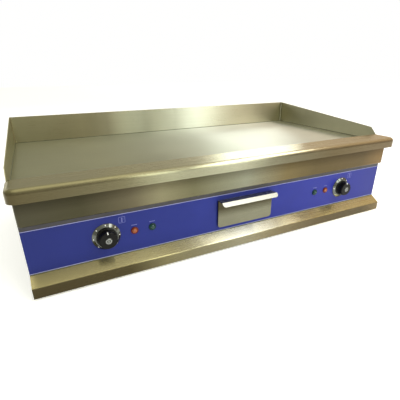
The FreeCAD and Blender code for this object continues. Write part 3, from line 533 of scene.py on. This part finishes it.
def make_dials():
    """Seven dots on the sloping face of each dial ring, the pointer over the chamfered rim of
    the knob, and the badge on its cap. Dot and pointer sections are in mm: (lift, radius) off
    the slope, and (back, up) in the pointer's side view."""
    for side in ("left", "right"):
        low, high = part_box(side + "_bezel")
        centre = Vector(((low.x + high.x) / 2, high.y, (low.z + high.z) / 2))
        radius = (high.x - low.x) / 2
        crest = high.y - low.y
        inner = radius - RING_SLOPE
        across = radius + (inner - radius) * DOT_SHARE
        height = RING_RIM + (crest - RING_RIM) * DOT_SHARE
        tilt = Vector((crest - RING_RIM, radius - inner)).normalized()

        def dots(grid):
            for step in range(7):
                angle = math.radians(45 * (step - 3))
                outward = Vector((math.sin(angle), 0, math.cos(angle)))
                normal = outward * tilt.x + Vector((0, -1, 0)) * tilt.y
                first = Vector((math.cos(angle), 0, -math.sin(angle)))
                second = normal.cross(first)
                spot = point_at(centre, 0, 0, height) + outward * across
                rings = []
                for lift, r in DOT_SECTION:
                    rings.append([grid.verts.new(
                        spot + normal * (lift * MM)
                        + first * (r * MM * math.cos(2 * math.pi * i / 20))
                        + second * (r * MM * math.sin(2 * math.pi * i / 20))) for i in range(20)])
                close_rings(grid, rings)
        make_piece(side + "_dial_dots", "print_white", "housing", dots)

        low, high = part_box(side + "_knob")
        middle = Vector(((low.x + high.x) / 2, low.y, (low.z + high.z) / 2))
        edge = (high.x - low.x) / 2 - POINTER_INSET

        def pointer(grid):
            close_rings(grid, [[grid.verts.new((middle.x + wide * MM, middle.y + back * MM,
                                                middle.z + edge + up * MM))
                                for back, up in POINTER_SECTION]
                               for wide in (-POINTER_HALF, POINTER_HALF)])
        make_piece(side + "_pointer", "print_white", side + "_knob_group", pointer)

        low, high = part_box(side + "_knob_cap")
        x, z = (low.x + high.x) / 2, (low.z + high.z) / 2

        def badge(grid):
            outer, inner = (round_outline(x, z, reach, 40) for reach in BADGE_RADII)
            add_frame(grid, outer, inner, low.y, PRINT)
            add_plate(grid, rounded_rectangle(x, z, *BAR_HALF, 0.4 * MM), low.y, PRINT)
        make_piece(side + "_badge", "print_grey", side + "_knob_group", badge)


def make_lenses():
    """Faceted lamp lenses in a moulded collar, in place of the plain CAD lenses."""
    for side in ("left", "right"):
        for colour in ("amber", "green"):
            node = "%s_%s_lens" % (side, colour)
            low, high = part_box(node)
            centre = Vector(((low.x + high.x) / 2, high.y, (low.z + high.z) / 2))
            radius = (high.x - low.x) / 2
            depth = high.y - low.y

            def collar(grid):
                rings = turned(grid, centre, [
                    (0.0, radius * 0.985), (0.15 * depth, radius), (0.27 * depth, radius),
                    (0.40 * depth, radius * 0.93), (0.46 * depth, radius * 0.82),
                    (0.40 * depth, radius * 0.68), (0.12 * depth, radius * 0.66)], 56)
                close_rings(grid, rings)
            make_piece(node + "_collar", "collar_" + colour, "housing", collar)

            def dome(grid):
                profile = [(0.13 * depth, radius * 0.65), (0.55 * depth, radius * 0.64),
                           (0.72 * depth, radius * 0.56), (0.86 * depth, radius * 0.42),
                           (0.95 * depth, radius * 0.24), (0.99 * depth, radius * 0.07)]
                rings = turned(grid, centre, profile, 60, 0.025, 12)
                close_rings(grid, rings)
            glass = make_piece(node + "_dome", "lens_" + colour,
                               "housing", dome, 50.0)
            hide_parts(node)


def add_bead(grid, start, end, side_a, side_b, radius, wobble=0.0, segments=60):
    """A fillet bead along an inside corner: two directions point along the walls."""
    start, end = Vector(start), Vector(end)
    side_a, side_b = Vector(side_a), Vector(side_b)
    rings = []
    for i in range(segments + 1):
        spot = start.lerp(end, i / segments)
        r = radius * (1.0 + wobble * math.sin(i * 2.1) * math.sin(i * 0.37))
        ring = [grid.verts.new(spot)]
        for k in range(5):
            angle = math.pi / 2 * k / 4
            bow = 1.0 - 0.32 * math.sin(2 * angle)
            ring.append(grid.verts.new(spot + side_a * (r * bow * math.cos(angle))
                                       + side_b * (r * bow * math.sin(angle))))
        rings.append(ring)
    close_rings(grid, rings)


PLATE_BEAD = 1.6 * MM
PANEL_BEAD = 1.3 * MM
WELD_BEAD = 1.8 * MM


def make_beads():
    """Sealed joint round the plate, the dark joint under the panel film, and the dressed welds
    at the guards' corners."""
    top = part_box("griddle_plate")[1].z
    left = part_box("left_guard")[1].x
    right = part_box("right_guard")[0].x
    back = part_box("back_guard")[0].y
    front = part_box("front_rail")[1].y + 1 * MM
    guard_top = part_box("back_guard")[1].z

    def joint(grid):
        add_bead(grid, (left, front, top), (left, back, top), (1, 0, 0), (0, 0, 1),
                 PLATE_BEAD, 0.12)
        add_bead(grid, (right, front, top), (right, back, top), (-1, 0, 0), (0, 0, 1),
                 PLATE_BEAD, 0.12)
        add_bead(grid, (left, back, top), (right, back, top), (0, -1, 0), (0, 0, 1),
                 PLATE_BEAD, 0.12, 140)
    make_piece("plate_joint", "seam_bead", "housing", joint, 60.0)

    def panel_gap(grid):
        level = film_low.z - 0.3 * MM
        depth = film_face + 0.1 * MM
        add_bead(grid, (film_low.x, depth, level), (film_high.x, depth, level),
                 (0, -0.86, -0.51), (0, 0, 1), PANEL_BEAD, 0.0, 80)
    make_piece("panel_joint", "seam_bead", "housing", panel_gap, 60.0)

    def welds(grid):
        for x, inward in ((left, 1), (right, -1)):
            add_bead(grid, (x, back, top), (x, back, guard_top - 0.5 * MM), (inward, 0, 0),
                     (0, -1, 0), WELD_BEAD, 0.1, 30)
    make_piece("corner_welds", "weld_polish", "housing", welds, 60.0)


HEAD_SECTION = ((-0.3, 3.9), (0.7, 4.0), (1.3, 3.6), (1.7, 2.7))
RECESS_LEVELS = (1.75, 0.6)
RECESS_POINTS = ((-0.22, 1.9), (0.22, 1.9), (math.pi / 4, 0.62))
SHANK_RADIUS = 2.0
SHANK_ENDS = (-8.8, -0.4)
HEAD_RADIUS = 4 * MM


def make_rear_screws():
    """Pan heads with a cross recess, in place of the plain CAD screws. Sections are in mm:
    (out, radius) for the head, and (turn in radians, reach) for one arm of the cross."""
    low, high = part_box("rear_screws")
    across = high.x - HEAD_RADIUS
    levels = (low.z + HEAD_RADIUS, (low.z + high.z) / 2, high.z - HEAD_RADIUS)
    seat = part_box("rear_panel")[1].y

    def ring_at(grid, x, z, out, radius, count):
        return [grid.verts.new((x + radius * MM * math.sin(2 * math.pi * i / count),
                                seat + out * MM,
                                z + radius * MM * math.cos(2 * math.pi * i / count)))
                for i in range(count)]

    def heads(grid):
        for x in (-across, across):
            for z in levels:
                cross = []
                for i in range(4):
                    angle = math.pi / 2 * i
                    for turn, reach in RECESS_POINTS:
                        cross.append((reach * MM * math.sin(angle + turn),
                                      reach * MM * math.cos(angle + turn)))
                rings = [ring_at(grid, x, z, out, radius, 12) for out, radius in HEAD_SECTION]
                for out in RECESS_LEVELS:
                    ring = [grid.verts.new((x + px, seat + out * MM, z + pz)) for px, pz in cross]
                    rings.append(ring[1:] + ring[:1])
                close_rings(grid, rings)
                close_rings(grid, [ring_at(grid, x, z, out, SHANK_RADIUS, 16)
                                   for out in SHANK_ENDS])
    piece = make_piece("rear_screw_set", "fastener_steel", "housing", heads, 40.0)
    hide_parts("rear_screws")


make_panel_print()
make_dials()
make_lenses()
make_beads()
make_rear_screws()


# ---- camera, floor and light ----

def make_camera():
    """The view of the reference: from the front left, above the plate. Angles in radians."""
    eye = (-0.42694, -0.85658, 0.41413)
    yaw, pitch, roll = 0.4627, 0.4040, 0.0023
    forward = Vector((math.sin(yaw) * math.cos(pitch), math.cos(yaw) * math.cos(pitch),
                      -math.sin(pitch)))
    right = Vector((math.cos(yaw), -math.sin(yaw), 0.0))
    upward = right.cross(forward)
    turn = Matrix((right, upward, -forward)).transposed().to_4x4()
    data = bpy.data.cameras.new("camera")
    data.lens = 29.017
    data.sensor_width = 36.0
    data.shift_x = -0.0038
    data.shift_y = 0.0171
    data.clip_start = 0.01
    camera = bpy.data.objects.new("camera", data)
    camera.matrix_world = Matrix.Translation(eye) @ turn @ Matrix.Rotation(-roll, 4, "Z")
    scene.collection.objects.link(camera)
    scene.camera = camera


def make_floor():
    """Pale paper that glows faintly, so that it meets the backdrop without an edge."""
    shader = Shader("floor_paper")
    grain = shader.noise((220.0, 220.0, 220.0), 3.0, 0.5)
    base = shader.ramp(grain, [(0.3, (0.87, 0.88, 0.90)), (0.7, (0.90, 0.91, 0.93))])
    shader.finish(Base_Color=base, Roughness=0.9, Normal=shader.bump(grain, 0.05, 0.0005),
                  Emission_Color=(0.98, 1.0, 1.0, 1.0), Emission_Strength=0.35)
    mesh = bpy.data.meshes.new("floor")
    half = 9.0
    mesh.from_pydata([(-half, -half, 0), (half, -half, 0), (half, half, 0), (-half, half, 0)],
                     [], [(0, 1, 2, 3)])
    mesh.materials.append(shader.material)
    floor = bpy.data.objects.new("floor", mesh)
    scene.collection.objects.link(floor)


def softbox(name, place, aim, size, radiance, tint):
    """Rectangular soft light; its power follows from how bright its face looks."""
    data = bpy.data.lights.new(name, "AREA")
    data.shape = "RECTANGLE"
    data.size, data.size_y = size
    data.energy = radiance * math.pi * size[0] * size[1]
    data.color = tint
    light = bpy.data.objects.new(name, data)
    light.location = place
    light.rotation_euler = (Vector(aim) - Vector(place)).to_track_quat("-Z", "Y").to_euler()
    scene.collection.objects.link(light)


def make_world():
    """Pale backdrop for the eye; a warm room, olive to the left and tan to the right, for light."""
    world = bpy.data.worlds.new("studio")
    world.use_nodes = True
    tree = world.node_tree
    tree.nodes.clear()
    output = tree.nodes.new("ShaderNodeOutputWorld")
    blend = tree.nodes.new("ShaderNodeMixShader")
    path = tree.nodes.new("ShaderNodeLightPath")
    room = tree.nodes.new("ShaderNodeBackground")
    backdrop = tree.nodes.new("ShaderNodeBackground")
    place = tree.nodes.new("ShaderNodeTexCoord")
    split = tree.nodes.new("ShaderNodeSeparateXYZ")
    share = tree.nodes.new("ShaderNodeMapRange")
    tint = tree.nodes.new("ShaderNodeValToRGB")
    share.inputs["From Min"].default_value = -1.0
    share.inputs["From Max"].default_value = 1.0
    stops = [(0.0, (0.62, 0.60, 0.48)), (0.45, (0.80, 0.79, 0.70)), (1.0, (0.86, 0.70, 0.50))]
    elements = tint.color_ramp.elements
    elements.new(0.5)
    for element, (position, colour) in zip(elements, stops):
        element.position = position
        element.color = colour4(colour)
    room.inputs["Strength"].default_value = 0.95
    backdrop.inputs["Color"].default_value = (1.0, 1.0, 0.995, 1.0)
    backdrop.inputs["Strength"].default_value = 1.0
    links = tree.links
    links.new(place.outputs["Generated"], split.inputs[0])
    links.new(split.outputs["X"], share.inputs["Value"])
    links.new(share.outputs["Result"], tint.inputs["Fac"])
    links.new(tint.outputs["Color"], room.inputs["Color"])
    links.new(path.outputs["Is Camera Ray"], blend.inputs[0])
    links.new(room.outputs[0], blend.inputs[1])
    links.new(backdrop.outputs[0], blend.inputs[2])
    links.new(blend.outputs[0], output.inputs["Surface"])
    scene.world = world


def make_lights():
    white = (1.0, 0.99, 0.95)
    cool = (0.94, 1.0, 0.93)
    softbox("overhead_right", (1.0, -0.8, 1.5), (1.0, -0.8, 0.0), (0.85, 1.3), 5.5, white)
    softbox("far_window", (7.0, 9.1, 3.7), (0.0, 0.0, 0.2), (3.0, 6.6), 3.2, cool)
    softbox("back_left", (-1.9, 2.4, 1.1), (0.3, 0.0, 0.2), (1.6, 1.2), 1.5, white)
    softbox("window_inner", (0.45, -2.25, 1.2), (0.0, -0.2, 0.2), (0.36, 1.9), 4.6, cool)
    softbox("window_outer", (1.26, -2.25, 1.2), (0.0, -0.2, 0.2), (0.56, 1.9), 5.0, cool)
    softbox("ceiling", (-0.3, -0.4, 2.6), (0.0, 0.0, 0.0), (2.4, 2.4), 1.0, white)


make_camera()
make_floor()
make_world()
make_lights()
